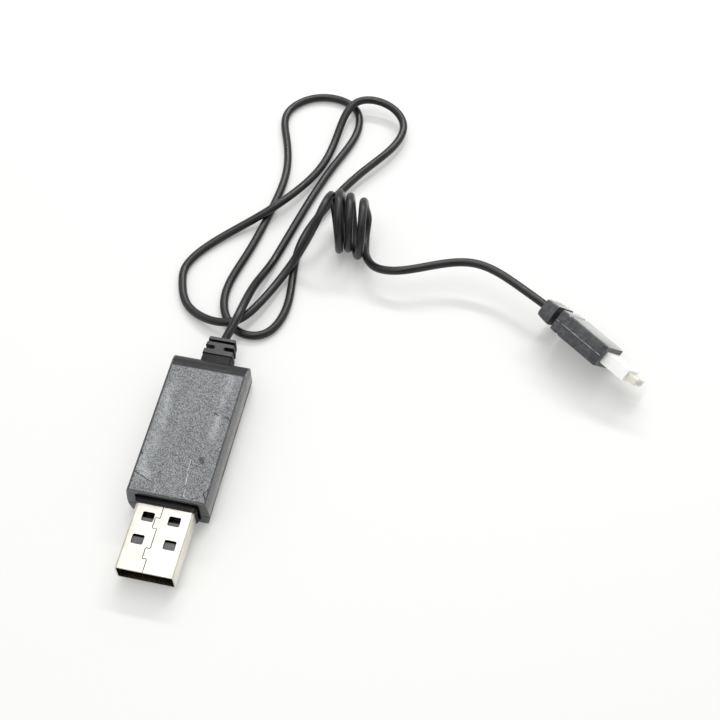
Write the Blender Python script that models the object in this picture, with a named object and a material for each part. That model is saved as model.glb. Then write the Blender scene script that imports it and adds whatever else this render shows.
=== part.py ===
"""USB charging lead for a mini drone's battery.

A USB-A plug is built into a two-shell housing that holds the charging board. A thin cord leaves the
housing through a strain relief, lies in loops, makes a small upright coil and ends in a 2-pin connector.

Frame: the origin is the middle of the housing's underside footprint, measured over the plug, the housing
and the strain relief. +Y runs from the plug's mouth to the cord, +Z is up and z = 0 is the table.
"""

import math

import bpy
import numpy as np
from mathutils import Matrix, Vector

MM = 0.001

# Driving sizes, in millimetres. Lengths along Y are measured from the mouth of the plug.
PLUG_LENGTH = 56.4
CENTRE_HEIGHT = 4.1
GAP = 0.3

# The USB-A plug.
SHELL_WIDTH, SHELL_HEIGHT, SHELL_WALL = 12.0, 4.5, 0.3
SHELL_LENGTH, SHELL_RADIUS = 19.0, 0.65
WINDOW_HALF_X, WINDOW_HALF_Y, WINDOW_RADIUS = 1.22, 1.03, 0.3
FRONT_WINDOWS, REAR_WINDOWS, LOWER_WINDOWS = (3.27, 6.6), (2.7, 11.7), (2.9, 6.6)
TONGUE_START, BLOCK_START = 0.7, 10.6
INSULATOR_CLEARANCE = 0.15
POCKET_HALF_WIDTH, POCKET_DEPTH, POCKET_LENGTH = 1.3, 1.1, 1.3
CONTACT_X = (-3.5, -1.0, 1.0, 3.5)
CONTACT_START, CONTACT_HALF_WIDTH, CONTACT_THICKNESS = 1.6, 0.5, 0.2
CONTACT_END = SHELL_LENGTH + 2.6
COLLAR_START = 14.6
COLLAR_HALF_SIZE, COLLAR_FLANGE_HALF_SIZE = (6.35, 2.7), (7.05, 2.85)

# The housing.
HOUSING_START, HOUSING_END = 15.6, 50.2
HOUSING_HEIGHT, HOUSING_WALL = 8.2, 1.2
HOUSING_HALF_WIDTH = 8.6
REAR_TOP_LENGTH, REAR_TOP_HEIGHT, REAR_CORNER_RADIUS = 3.9, 3.2, 1.5
SPLIT_HEIGHT, SPLIT_GAP = 3.0, 0.2
CAVITY_HALF_SIZE, FRONT_WINDOW_HALF_SIZE = (7.35, 3.15), (6.65, 3.1)
OUTLET_HALF_SIZE = (3.65, 2.25)

MOUTH = -PLUG_LENGTH / 2
FRONT_WALL = MOUTH + HOUSING_START
REAR_WALL = MOUTH + HOUSING_END
FAR_END = MOUTH + PLUG_LENGTH

# The charging board inside the housing.
BOARD_LOW, BOARD_HIGH, BOARD_HALF_WIDTH = 2.5, 3.5, 6.6
BOARD_START, BOARD_END = FRONT_WALL + 4.0, REAR_WALL - 5.2
SEAT = BOARD_HIGH + 0.1
WIRE_RADIUS = 0.4

# The strain relief, which sits a little to one side of the middle.
RELIEF_X = 0.3
RELIEF_INNER = REAR_WALL - 2.5
NECK_HALF_WIDTH, RELIEF_HALF_HEIGHT = 3.3, 2.1
SLOT_MIDDLE, SLOT_HALF, WEB_HALF = REAR_WALL + 3.4, 0.5, 0.95

CORD_RADIUS = 0.95
TUBE_SPACING = 6.2 * CORD_RADIUS

# The cord's route in millimetres, from the strain relief to the coil. It was chosen point by point.
LOOP_ROUTE = (
    (0.3, 28.5, 4.1), (1.2, 31.6, 5.1), (2.6, 44.6, 3.4), (4.3, 52.9, 1.3), (11.4, 84.4, 1.0),
    (15.1, 98.5, 1.0), (13.2, 105.2, 1.0), (7.8, 107.8, 1.0), (1.0, 106.3, 1.0), (-3.3, 100.4, 1.0),
    (-1.3, 91.6, 1.0), (1.1, 81.0, 1.0), (0.5, 69.8, 1.0), (-1.8, 55.1, 1.0), (-3.7, 45.0, 1.0),
    (-2.5, 38.4, 1.0), (2.2, 33.7, 1.0), (7.5, 34.3, 1.0), (10.5, 40.0, 1.0), (10.5, 47.8, 1.0),
    (9.5, 58.5, 1.0), (11.3, 67.7, 1.3), (19.2, 84.0, 2.4), (24.7, 92.9, 2.6), (26.0, 101.3, 2.6),
    (21.0, 106.2, 3.4), (13.6, 105.6, 3.5), (10.7, 96.4, 1.8), (8.9, 84.0, 1.5), (1.3, 68.4, 3.2),
    (-4.1, 63.4, 1.8), (-14.6, 49.1, 1.0), (-14.0, 43.9, 1.0), (-10.8, 38.1, 1.0), (0.1, 34.8, 2.9),
    (5.0, 41.2, 2.8), (10.0, 54.5, 3.6), (13.7, 58.9, 11.3), (15.0, 63.5, 13.5),
)

# From the coil to the far connector the cord stands clear of the table, held up by its own stiffness.
TAIL_ROUTE = (
    (23.8, 69.2, 4.2), (23.9, 67.2, 1.9), (24.3, 64.0, 1.1), (25.0, 60.9, 1.7), (26.1, 58.1, 3.0),
    (28.3, 55.3, 4.4), (32.6, 54.0, 5.8), (39.7, 56.1, 6.5), (50.5, 58.9, 7.1), (61.2, 55.2, 6.3),
    (68.0, 51.2, 6.0),
)

# The upright coil: a loose helix whose turns stand on the table, edge on to the front.
# Each turn leans its own way, by the lean along the coil's axis and the push towards the front.
COIL_BEGIN, COIL_FINISH = 0.12, 3.25
COIL_START = (15.9, 64.3)
COIL_RADIUS, COIL_SHRINK = 6.25, 0.25
COIL_LOWEST = CORD_RADIUS + 0.05
COIL_AXIS = Vector((0.973, 0.233, 0.0)).normalized()
COIL_FRONT = Vector((0.233, -0.973, 0.0)).normalized()
COIL_LEAN, COIL_PUSH = (0.85, 0.5, -0.25, 0.0), (0.75, 0.6, 1.8, 0.0)
COIL_SOLID_SPAN = (1.6, 6.6)

# The far connector, in its own frame: +Y towards its tip, its narrow side up, y = 0 at the cover's front.
FAR_FRONT = (82.66, 40.5)
FAR_HEADING, FAR_ROLL = math.radians(-36.1), math.radians(39.0)
COVER_HALF_THICK, COVER_HALF_WIDE, COVER_LENGTH = 2.63, 5.59, 17.9
CONNECTOR_HALF_THICK, CONNECTOR_HALF_WIDE = 1.4, 3.7
CONNECTOR_REAR, CONNECTOR_FRONT, NOSE_FRONT = -3.0, 6.2, 8.6
BORE_END, PIN_HOLE_HALF_SIZE = 5.6, (0.2, 0.25)
TERMINAL_OFFSET = 1.5


def material(name, colour, roughness, metallic=0.0):
    made = bpy.data.materials.new(name)
    made.use_nodes = True
    shader = made.node_tree.nodes["Principled BSDF"]
    shader.inputs["Base Color"].default_value = (*colour, 1.0)
    shader.inputs["Roughness"].default_value = roughness
    shader.inputs["Metallic"].default_value = metallic
    made.diffuse_color = (*colour, 1.0)
    return made


def make_materials():
    return {
        "nickel": material("nickel", (0.78, 0.76, 0.70), 0.3, 1.0),
        "gold": material("gold", (0.80, 0.58, 0.22), 0.3, 1.0),
        "insulator": material("insulator", (0.30, 0.30, 0.31), 0.6),
        "collar": material("collar", (0.02, 0.02, 0.022), 0.25),
        "housing": material("housing", (0.05, 0.053, 0.057), 0.5),
        "board": material("board", (0.04, 0.20, 0.08), 0.5),
        "package": material("package", (0.02, 0.02, 0.02), 0.5),
        "lamp": material("lamp", (0.70, 0.05, 0.03), 0.25),
        "ceramic": material("ceramic", (0.55, 0.42, 0.28), 0.5),
        "solder": material("solder", (0.62, 0.62, 0.62), 0.35, 1.0),
        "red_wire": material("red_wire", (0.60, 0.03, 0.02), 0.45),
        "black_wire": material("black_wire", (0.02, 0.02, 0.02), 0.45),
        "relief": material("relief", (0.025, 0.025, 0.027), 0.55),
        "cord": material("cord", (0.02, 0.02, 0.022), 0.4),
        "cover": material("cover", (0.045, 0.046, 0.05), 0.5),
        "connector": material("connector", (0.85, 0.85, 0.80), 0.4),
        "brass": material("brass", (0.72, 0.52, 0.20), 0.35, 1.0),
    }


def add_mesh(name, points, faces, look):
    """A mesh object from points in millimetres."""
    mesh = bpy.data.meshes.new(name)
    mesh.from_pydata([Vector(point) * MM for point in points], [], faces)
    mesh.materials.append(look)
    made = bpy.data.objects.new(name, mesh)
    bpy.context.scene.collection.objects.link(made)
    return made


def smooth(made, angle=35.0):
    made.data.shade_smooth()
    made.data.set_sharp_from_angle(angle=math.radians(angle))
    return made


def box(name, low, high, look, edge=0.0):
    """A box between two corners. Its edges are rounded by the width in edge."""
    points = [(x, y, z) for x in (low[0], high[0]) for y in (low[1], high[1]) for z in (low[2], high[2])]
    faces = [(0, 1, 3, 2), (4, 6, 7, 5), (0, 4, 5, 1), (2, 3, 7, 6), (0, 2, 6, 4), (1, 5, 7, 3)]
    made = add_mesh(name, points, faces, look)
    if edge:
        rounding = made.modifiers.new("edge", "BEVEL")
        rounding.width = edge * MM
        rounding.segments = 2
        smooth(made)
    return made


def prism(name, outline, axis, start, end, look):
    """A prism along an axis: outline holds the other two coordinates, in X, Y, Z order."""
    ends = [
        [tuple(np.insert(np.array(point, float), axis, at)) for point in outline]
        for at in (start, end)
    ]
    count = len(outline)
    faces = [tuple(range(count)), tuple(range(2 * count - 1, count - 1, -1))]
    faces += [(i, i + count, (i + 1) % count + count, (i + 1) % count) for i in range(count)]
    made = add_mesh(name, ends[0] + ends[1], faces, look)
    return outward(made)


def outward(made):
    """Turns the mesh round if its faces point inwards."""
    mesh = made.data
    mesh.calc_loop_triangles()
    at = [vertex.co for vertex in mesh.vertices]
    volume = sum(
        at[a].dot(at[b].cross(at[c])) for a, b, c in (tri.vertices for tri in mesh.loop_triangles)
    )
    if volume < 0:
        mesh.flip_normals()
    return made


def rounded_rectangle(half_a, half_b, radius, centre=(0.0, 0.0), steps=4):
    """Points round a rectangle with round corners."""
    points = []
    for corner, (sign_a, sign_b) in enumerate(((1, 1), (-1, 1), (-1, -1), (1, -1))):
        for step in range(steps + 1):
            angle = math.pi / 2 * (corner + step / steps)
            points.append((
                centre[0] + sign_a * (half_a - radius) + radius * math.cos(angle),
                centre[1] + sign_b * (half_b - radius) + radius * math.sin(angle),
            ))
    return points


def loft(name, stations, look, steps=3):
    """A closed body through rounded rectangles. Each station is (y, half x, half z, corner radius, x)."""
    points, faces, count = [], [], 4 * (steps + 1)
    for y, half_x, half_z, radius, x in stations:
        ring = rounded_rectangle(half_x, half_z, radius, (x, 0.0), steps)
        points += [(a, y, b) for a, b in ring]
    for station in range(len(stations) - 1):
        first = station * count
        for i in range(count):
            j = (i + 1) % count
            faces.append((first + i, first + j, first + count + j, first + count + i))
    last = (len(stations) - 1) * count
    faces += [tuple(range(count - 1, -1, -1)), tuple(range(last, last + count))]
    return outward(add_mesh(name, points, faces, look))


def helper(made):
    """Marks an object as a cutter, which isn't a part of the lead."""
    made.hide_render = True
    made.display_type = "WIRE"
    return made


def combine(made, operation, other):
    """Joins, cuts or limits one object by another."""
    step = made.modifiers.new(other.name, "BOOLEAN")
    step.operation = operation
    step.object = other
    helper(other)


def dome(name, centre, radius, height, look, around=12, rings=3):
    """A drop of solder with a flat underside."""
    points = [(centre[0], centre[1], centre[2] + height)]
    for ring in range(1, rings + 1):
        lean = math.pi / 2 * ring / rings
        for step in range(around):
            turn = 2 * math.pi * step / around
            points.append((
                centre[0] + radius * math.sin(lean) * math.cos(turn),
                centre[1] + radius * math.sin(lean) * math.sin(turn),
                centre[2] + height * math.cos(lean),
            ))
    faces = [(0, 1 + i, 1 + (i + 1) % around) for i in range(around)]
    for ring in range(rings - 1):
        first = 1 + ring * around
        for i in range(around):
            j = (i + 1) % around
            faces.append((first + i, first + around + i, first + around + j, first + j))
    last = 1 + (rings - 1) * around
    faces.append(tuple(range(last + around - 1, last - 1, -1)))
    return smooth(outward(add_mesh(name, points, faces, look)))


def tube(name, points, radius, look):
    """A round tube along points in millimetres, with flat ends."""
    curve = bpy.data.curves.new(name, "CURVE")
    curve.dimensions = "3D"
    curve.bevel_depth = radius * MM
    curve.bevel_resolution = 2
    curve.use_fill_caps = True
    spline = curve.splines.new("POLY")
    spline.points.add(len(points) - 1)
    for target, point in zip(spline.points, points):
        target.co = (*(Vector(point) * MM), 1.0)
    curve.materials.append(look)
    made = bpy.data.objects.new(name, curve)
    bpy.context.scene.collection.objects.link(made)
    return made


def smooth_path(route, spacing):
    """Points along a natural cubic spline through the route, about the spacing apart."""
    at = np.array(route, float)
    steps = np.linalg.norm(np.diff(at, axis=0), axis=1) ** 0.75
    knots = np.concatenate([[0.0], np.cumsum(steps)])
    count = len(at)
    system, right = np.eye(count), np.zeros((count, 3))
    slopes = np.diff(at, axis=0) / steps[:, None]
    for i in range(1, count - 1):
        system[i, i - 1 : i + 2] = steps[i - 1], 2 * (steps[i - 1] + steps[i]), steps[i]
        right[i] = 6 * (slopes[i] - slopes[i - 1])
    bend = np.linalg.solve(system, right)
    fine = []
    for i, width in enumerate(steps):
        for share in np.arange(0.0, 1.0, 0.02):
            after, before = share * width, (1 - share) * width
            curved = (bend[i] * before**3 + bend[i + 1] * after**3) / (6 * width)
            straight = (at[i] / width - bend[i] * width / 6) * before
            straight += (at[i + 1] / width - bend[i + 1] * width / 6) * after
            fine.append(curved + straight)
    fine = np.array(fine + [at[-1]])
    fine[:, 2] = np.maximum(fine[:, 2], CORD_RADIUS + 0.02)
    along = np.concatenate([[0.0], np.cumsum(np.linalg.norm(np.diff(fine, axis=0), axis=1))])
    wanted = np.linspace(0.0, along[-1], max(2, round(along[-1] / spacing) + 1))
    return np.stack([np.interp(wanted, along, fine[:, i]) for i in range(3)], axis=1)


def coil_point(turn):
    """The cord's middle after this many turns of the coil, counted from the top of the first one."""
    radius = COIL_RADIUS - COIL_SHRINK * min(max(turn - 1, 0), 1)
    angle = 2 * math.pi * turn
    sway = math.sin(math.pi * turn) ** 2
    sideways = 1.9 * turn + 0.2 * turn**2 + COIL_LEAN[int(turn)] * sway
    forwards = 0.9 - 1.5 * turn + 0.63 * turn**2 + COIL_PUSH[int(turn)] * sway - radius * math.sin(angle)
    height = COIL_LOWEST + radius * (1 + math.cos(angle))
    place = Vector((*COIL_START, height)) + COIL_AXIS * sideways + COIL_FRONT * forwards
    return tuple(place)


def make_usb_plug(looks):
    low, high = CENTRE_HEIGHT - SHELL_HEIGHT / 2, CENTRE_HEIGHT + SHELL_HEIGHT / 2
    centre = (0.0, CENTRE_HEIGHT)
    outer = rounded_rectangle(SHELL_WIDTH / 2, SHELL_HEIGHT / 2, SHELL_RADIUS, centre)
    inner = rounded_rectangle(
        SHELL_WIDTH / 2 - SHELL_WALL, SHELL_HEIGHT / 2 - SHELL_WALL, SHELL_RADIUS - SHELL_WALL, centre
    )
    shell = prism("usb_shell", outer, 1, MOUTH, MOUTH + SHELL_LENGTH, looks["nickel"])
    bore = prism("cut_shell_bore", inner, 1, MOUTH - 1, MOUTH + SHELL_LENGTH + 1, looks["nickel"])
    combine(shell, "DIFFERENCE", bore)
    windows = [(FRONT_WINDOWS, high), (REAR_WINDOWS, high), (LOWER_WINDOWS, low)]
    for number, ((x, along), height) in enumerate(windows):
        for side in (-1, 1):
            middle = (x * side, MOUTH + along)
            outline = rounded_rectangle(WINDOW_HALF_X, WINDOW_HALF_Y, WINDOW_RADIUS, middle)
            name = f"cut_window_{number}_{side + 1}"
            cutter = prism(name, outline, 2, height - 0.8, height + 0.8, looks["nickel"])
            combine(shell, "DIFFERENCE", cutter)
    smooth(shell)
    make_insulator(looks, low + SHELL_WALL, high - SHELL_WALL)


def make_insulator(looks, floor, ceiling):
    """The block in the shell's rear, its tongue under the shell's top, and the four contacts under that."""
    block_low, block_high = floor + INSULATOR_CLEARANCE, ceiling - INSULATOR_CLEARANCE
    tongue_low = CENTRE_HEIGHT + 0.05
    half_width = SHELL_WIDTH / 2 - SHELL_WALL - INSULATOR_CLEARANCE
    tip, block_start, rear = MOUTH + TONGUE_START, MOUTH + BLOCK_START, MOUTH + SHELL_LENGTH + 0.4
    profile = (
        (tip, tongue_low), (block_start, tongue_low), (block_start, block_low),
        (rear, block_low), (rear, block_high), (tip, block_high),
    )
    insulator = prism("usb_insulator", profile, 0, -half_width, half_width, looks["insulator"])
    for side in (-1, 1):
        x, start = REAR_WINDOWS[0] * side, MOUTH + REAR_WINDOWS[1]
        pocket = box(
            f"cut_pocket_{side + 1}", (x - POCKET_HALF_WIDTH, start, block_high - POCKET_DEPTH),
            (x + POCKET_HALF_WIDTH, start + POCKET_LENGTH, block_high + 1), looks["insulator"],
        )
        combine(insulator, "DIFFERENCE", pocket)
    contact_high = tongue_low - 0.1
    contact_low = contact_high - CONTACT_THICKNESS
    for number, x in enumerate(CONTACT_X, start=1):
        slot_half = CONTACT_HALF_WIDTH + 0.2
        channel = box(
            f"cut_channel_{number}", (x - slot_half, block_start - 1, contact_low - 0.15),
            (x + slot_half, rear + 1, contact_high + 0.2), looks["insulator"],
        )
        combine(insulator, "DIFFERENCE", channel)
        box(
            f"usb_contact_{number}", (x - CONTACT_HALF_WIDTH, MOUTH + CONTACT_START, contact_low),
            (x + CONTACT_HALF_WIDTH, MOUTH + CONTACT_END, contact_high), looks["gold"],
        )


def make_collar(looks):
    """The black ring that holds the USB shell in the housing's front."""
    start = MOUTH + COLLAR_START
    ring = prism(
        "plug_collar", rounded_rectangle(*COLLAR_HALF_SIZE, 0.5, (0.0, CENTRE_HEIGHT)), 1,
        start, FRONT_WALL + 2.6, looks["collar"],
    )
    flange = prism(
        "add_collar_flange", rounded_rectangle(*COLLAR_FLANGE_HALF_SIZE, 0.4, (0.0, CENTRE_HEIGHT)), 1,
        FRONT_WALL + HOUSING_WALL + GAP, FRONT_WALL + 2.4, looks["collar"],
    )
    hole = prism(
        "cut_collar_hole",
        rounded_rectangle(
            SHELL_WIDTH / 2 + 0.1, SHELL_HEIGHT / 2 + 0.1, SHELL_RADIUS + 0.05, (0.0, CENTRE_HEIGHT)
        ),
        1, start - 1, FRONT_WALL + 5, looks["collar"],
    )
    combine(ring, "UNION", flange)
    combine(ring, "DIFFERENCE", hole)
    smooth(ring)


def housing_section():
    """The housing's outline across its width, wider at mid height than at its top edge."""
    half = ((7.5, 0.0), (7.95, 0.15), (8.25, 0.9), (HOUSING_HALF_WIDTH, 2.6), (8.57, 4.2), (8.42, 6.2),
            (8.22, 8.0), (8.1, HOUSING_HEIGHT))
    return list(half) + [(-x, z) for x, z in reversed(half)]


def housing_side():
    """The outline seen from the side, with its round rear top edge."""
    points = [(FRONT_WALL, -1.0), (REAR_WALL - 0.4, -1.0), (REAR_WALL - 0.4, 0.0), (REAR_WALL, 0.4)]
    centre = (REAR_WALL - REAR_TOP_LENGTH, HOUSING_HEIGHT - REAR_TOP_HEIGHT)
    for step in range(9):
        angle = math.pi / 2 * step / 8
        points.append((
            centre[0] + REAR_TOP_LENGTH * math.cos(angle),
            centre[1] + REAR_TOP_HEIGHT * math.sin(angle),
        ))
    return points + [(FRONT_WALL, HOUSING_HEIGHT)]


def housing_plan():
    """The outline seen from above, with its two round rear corners."""
    points = [(-10.0, FRONT_WALL - 1), (10.0, FRONT_WALL - 1), (10.0, REAR_WALL - 6)]
    centre = (HOUSING_HALF_WIDTH - REAR_CORNER_RADIUS, REAR_WALL - REAR_CORNER_RADIUS)
    corner = [
        (centre[0] + REAR_CORNER_RADIUS * math.cos(math.pi / 2 * step / 6),
         centre[1] + REAR_CORNER_RADIUS * math.sin(math.pi / 2 * step / 6))
        for step in range(7)
    ]
    right = [(HOUSING_HALF_WIDTH + 0.2, REAR_WALL - 6)] + corner
    return points + right + [(-x, y) for x, y in reversed(right)] + [(-10.0, REAR_WALL - 6)]


def make_housing(looks):
    look = looks["housing"]
    cavity = prism(
        "cut_housing_cavity", rounded_rectangle(*CAVITY_HALF_SIZE, 0.8, (0.0, CENTRE_HEIGHT)), 1,
        FRONT_WALL + HOUSING_WALL, REAR_WALL - HOUSING_WALL, look,
    )
    window = prism(
        "cut_front_window",
        rounded_rectangle(*FRONT_WINDOW_HALF_SIZE, 0.5, (0.0, CENTRE_HEIGHT + 0.15)), 1,
        FRONT_WALL - 1, FRONT_WALL + HOUSING_WALL + 0.5, look,
    )
    outlet = prism(
        "cut_rear_outlet", rounded_rectangle(*OUTLET_HALF_SIZE, 0.5, (RELIEF_X, CENTRE_HEIGHT)), 1,
        REAR_WALL - HOUSING_WALL - 0.5, REAR_WALL + 1, look,
    )
    side = prism("limit_side", housing_side(), 0, -12.0, 12.0, look)
    plan = prism("limit_plan", housing_plan(), 2, -3.0, 12.0, look)
    halves = {
        "housing_lower": (-5.0, SPLIT_HEIGHT - SPLIT_GAP / 2),
        "housing_upper": (SPLIT_HEIGHT + SPLIT_GAP / 2, 15.0),
    }
    for name, (low, high) in halves.items():
        half = prism(name, housing_section(), 1, FRONT_WALL, REAR_WALL, look)
        slab = box(f"limit_{name}", (-20, -40, low), (20, 40, high), look)
        for other in (side, plan, slab):
            combine(half, "INTERSECT", other)
        for other in (cavity, window, outlet):
            combine(half, "DIFFERENCE", other)
        smooth(half)


def make_board(looks):
    """The board and what is soldered to it. Each part is its middle, its size and its look."""
    box(
        "circuit_board", (-BOARD_HALF_WIDTH, BOARD_START, BOARD_LOW),
        (BOARD_HALF_WIDTH, BOARD_END, BOARD_HIGH), looks["board"], 0.15,
    )
    parts = (
        ("charge_ic", (-1.0, 3.0), (3.9, 4.9, 1.5), "package"),
        ("indicator_led", (4.4, 9.0), (1.6, 0.9, 0.7), "lamp"),
        ("resistor_1", (4.2, 2.0), (2.0, 1.25, 0.5), "package"),
        ("resistor_2", (4.2, 5.0), (2.0, 1.25, 0.5), "package"),
        ("capacitor", (-4.8, 8.5), (1.25, 2.0, 1.1), "ceramic"),
    )
    for name, (x, y), (wide, long, high), look in parts:
        box(
            name, (x - wide / 2, y - long / 2, SEAT), (x + wide / 2, y + long / 2, SEAT + high),
            looks[look], 0.12,
        )
    for number, x in enumerate(CONTACT_X, start=1):
        centre = (x, MOUTH + CONTACT_END + 0.9, SEAT)
        dome(f"contact_solder_{number}", centre, 0.7, 0.6, looks["solder"])
    for side, colour in ((-1, "black"), (1, "red")):
        pad = (2.6 * side, BOARD_END - 3.2, SEAT)
        dome(f"wire_solder_{colour}", pad, 0.9, 0.7, looks["solder"])
        wire = (
            (RELIEF_X + 0.6 * side, RELIEF_INNER - GAP, CENTRE_HEIGHT),
            (RELIEF_X + 0.7 * side, RELIEF_INNER - 1.3, CENTRE_HEIGHT + 0.05),
            (1.9 * side, RELIEF_INNER - 3.2, CENTRE_HEIGHT + 0.1),
            (2.5 * side, pad[1] + 1.9, CENTRE_HEIGHT + 0.05),
            (2.6 * side, pad[1] + 1.0, CENTRE_HEIGHT),
        )
        tube(f"board_wire_{colour}", smooth_path(wire, 0.6), WIRE_RADIUS, looks[f"{colour}_wire"])


def make_strain_relief(looks):
    """The relief: an inner flange, a neck through the wall, two flanges with an H web, a groove, an end."""
    neck, tall = NECK_HALF_WIDTH, RELIEF_HALF_HEIGHT
    stations = (
        (RELIEF_INNER, neck + 0.9, tall + 0.3), (RELIEF_INNER + 0.9, neck + 0.9, tall + 0.3),
        (RELIEF_INNER + 0.9, neck, tall - 0.2), (REAR_WALL + 1.8, neck - 0.05, tall - 0.25),
        (REAR_WALL + 1.8, 3.35, tall), (REAR_WALL + 4.75, 3.1, tall - 0.05),
        (REAR_WALL + 4.75, 1.5, 1.3), (REAR_WALL + 5.45, 1.5, 1.3),
        (REAR_WALL + 5.45, 2.98, tall - 0.1), (FAR_END, 2.92, tall - 0.15),
    )
    relief = loft("strain_relief", [(y, x, z, 0.4, RELIEF_X) for y, x, z in stations], looks["relief"])
    relief.location.z = CENTRE_HEIGHT * MM
    slot_reach = 2.5
    for side in (-1, 1):
        middle = (side * (WEB_HALF + slot_reach) + RELIEF_X, SLOT_MIDDLE)
        outline = rounded_rectangle(slot_reach, SLOT_HALF, SLOT_HALF - 0.01, middle)
        slot = prism(f"cut_relief_slot_{side + 1}", outline, 2, -2.0, 12.0, looks["relief"])
        combine(relief, "DIFFERENCE", slot)
    smooth(relief)


def make_cord(looks):
    look = looks["cord"]
    loops = LOOP_ROUTE + (coil_point(COIL_BEGIN),)
    tube("cord_loops", smooth_path(loops, TUBE_SPACING), CORD_RADIUS, look)
    tail = (coil_point(COIL_FINISH - 0.15), coil_point(COIL_FINISH - 0.05)) + TAIL_ROUTE
    tube("cord_tail", smooth_path(tail, TUBE_SPACING), CORD_RADIUS, look)

    inner, outer = COIL_RADIUS - CORD_RADIUS - 0.4, COIL_RADIUS + CORD_RADIUS
    low, high = COIL_SOLID_SPAN
    soft = 0.8
    section = ((inner, low), (inner, high), (outer - soft, high), (outer, high - soft),
               (outer, low + soft), (outer - soft, low))
    around, points, faces = 32, [], []
    for step in range(around):
        angle = 2 * math.pi * step / around
        points += [(along, radius * math.sin(angle), radius * math.cos(angle)) for radius, along in section]
        for i in range(len(section)):
            j, after = (i + 1) % len(section), (step + 1) % around
            faces.append((
                step * len(section) + i, step * len(section) + j,
                after * len(section) + j, after * len(section) + i,
            ))
    coil = smooth(outward(add_mesh("cord_coil", points, faces, look)))
    coil.location = Vector((*COIL_START, outer)) * MM
    coil.rotation_euler.z = math.atan2(COIL_AXIS.y, COIL_AXIS.x)


def far_frame():
    """The far connector's place: it lies rolled over on one long edge of its cover."""
    along = Vector((math.cos(FAR_HEADING), math.sin(FAR_HEADING), 0.0))
    level = Vector((0.0, 0.0, 1.0)).cross(along)
    across = -(math.cos(FAR_ROLL) * level + math.sin(FAR_ROLL) * Vector((0.0, 0.0, 1.0)))
    upward = across.cross(along)
    height = COVER_HALF_THICK * math.sin(FAR_ROLL) + COVER_HALF_WIDE * math.cos(FAR_ROLL)
    turned = Matrix((across, along, upward)).transposed().to_4x4()
    return Matrix.Translation(Vector((*FAR_FRONT, height)) * MM) @ turned


def make_far_connector(looks):
    thick, wide = COVER_HALF_THICK, COVER_HALF_WIDE
    stations = (
        (-COVER_LENGTH, 1.9, 3.6, 0.8), (-17.5, 2.15, 4.2, 0.8), (-16.3, 2.3, 4.6, 0.6),
        (-16.1, 2.05, 4.3, 0.6), (-15.9, 2.3, 4.7, 0.6), (-14.3, 2.35, 4.9, 0.6),
        (-14.3, 1.3, 2.2, 0.6), (-12.9, 1.3, 2.2, 0.6),
        (-12.9, 2.5, 5.3, 0.5), (-11.0, 2.6, 5.5, 0.5), (-10.8, 2.35, 5.25, 0.5),
        (-10.6, thick, wide, 0.5), (-0.3, thick, wide, 0.5), (0.0, thick - 0.2, wide - 0.2, 0.4),
    )
    cover = loft("connector_cover", [(*station, 0.0) for station in stations], looks["cover"])
    pocket_thick, pocket_wide = CONNECTOR_HALF_THICK + 0.15, CONNECTOR_HALF_WIDE + 0.15
    pocket = box(
        "cut_cover_pocket", (-pocket_thick, -7.5, -pocket_wide), (pocket_thick, 1.0, pocket_wide),
        looks["cover"],
    )
    combine(cover, "DIFFERENCE", pocket)
    smooth(cover)

    body = box(
        "connector_housing", (-CONNECTOR_HALF_THICK, CONNECTOR_REAR, -CONNECTOR_HALF_WIDE),
        (CONNECTOR_HALF_THICK, CONNECTOR_FRONT, CONNECTOR_HALF_WIDE), looks["connector"], 0.15,
    )
    notch = 1.1
    nose_outline = (
        (CONNECTOR_FRONT - 1, -2.9), (NOSE_FRONT, -2.9), (NOSE_FRONT, -notch), (NOSE_FRONT - notch, 0.0),
        (NOSE_FRONT, notch), (NOSE_FRONT, 2.9), (CONNECTOR_FRONT - 1, 2.9),
    )
    nose = prism("add_nose", nose_outline, 0, -0.75, 0.75, looks["connector"])
    combine(body, "UNION", nose)
    movable = [cover, pocket, body, nose]
    for number, z in enumerate((-TERMINAL_OFFSET, TERMINAL_OFFSET), start=1):
        bore = box(
            f"cut_terminal_bore_{number}", (-0.45, CONNECTOR_REAR - 1, z - 0.65),
            (0.45, BORE_END, z + 0.65), looks["connector"],
        )
        hole = box(
            f"cut_pin_hole_{number}", (-PIN_HOLE_HALF_SIZE[0], BORE_END - 0.4, z - PIN_HOLE_HALF_SIZE[1]),
            (PIN_HOLE_HALF_SIZE[0], NOSE_FRONT + 1, z + PIN_HOLE_HALF_SIZE[1]), looks["connector"],
        )
        combine(body, "DIFFERENCE", bore)
        combine(body, "DIFFERENCE", hole)
        terminal = box(
            f"connector_terminal_{number}", (-0.25, CONNECTOR_REAR + 0.5, z - 0.45),
            (0.25, BORE_END - 0.3, z + 0.45), looks["brass"], 0.08,
        )
        colour = ("black", "red")[number - 1]
        start, end = CONNECTOR_REAR - GAP, CONNECTOR_REAR - 4.2
        wire = tube(
            f"connector_wire_{colour}", ((0, start, z), (0, (start + end) / 2, z * 0.9), (0, end, z * 0.7)),
            WIRE_RADIUS, looks[f"{colour}_wire"],
        )
        movable += [bore, hole, terminal, wire]
    place = far_frame()
    for made in movable:
        made.matrix_world = place @ made.matrix_world


def main():
    for old in list(bpy.data.objects):
        bpy.data.objects.remove(old)
    looks = make_materials()
    make_usb_plug(looks)
    make_collar(looks)
    make_housing(looks)
    make_board(looks)
    make_strain_relief(looks)
    make_cord(looks)
    make_far_connector(looks)


main()
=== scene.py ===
"""The looks of the USB charging lead: its formed shell, moulded housing, cord, far connector and light.

Lengths are in millimetres and are turned to metres where Blender takes them. The frame is the CAD's:
+Y runs from the plug's mouth to the cord, +Z is up and z = 0 is the table.
"""

import math

import bpy
import numpy as np
from mathutils import Matrix, Vector


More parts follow.
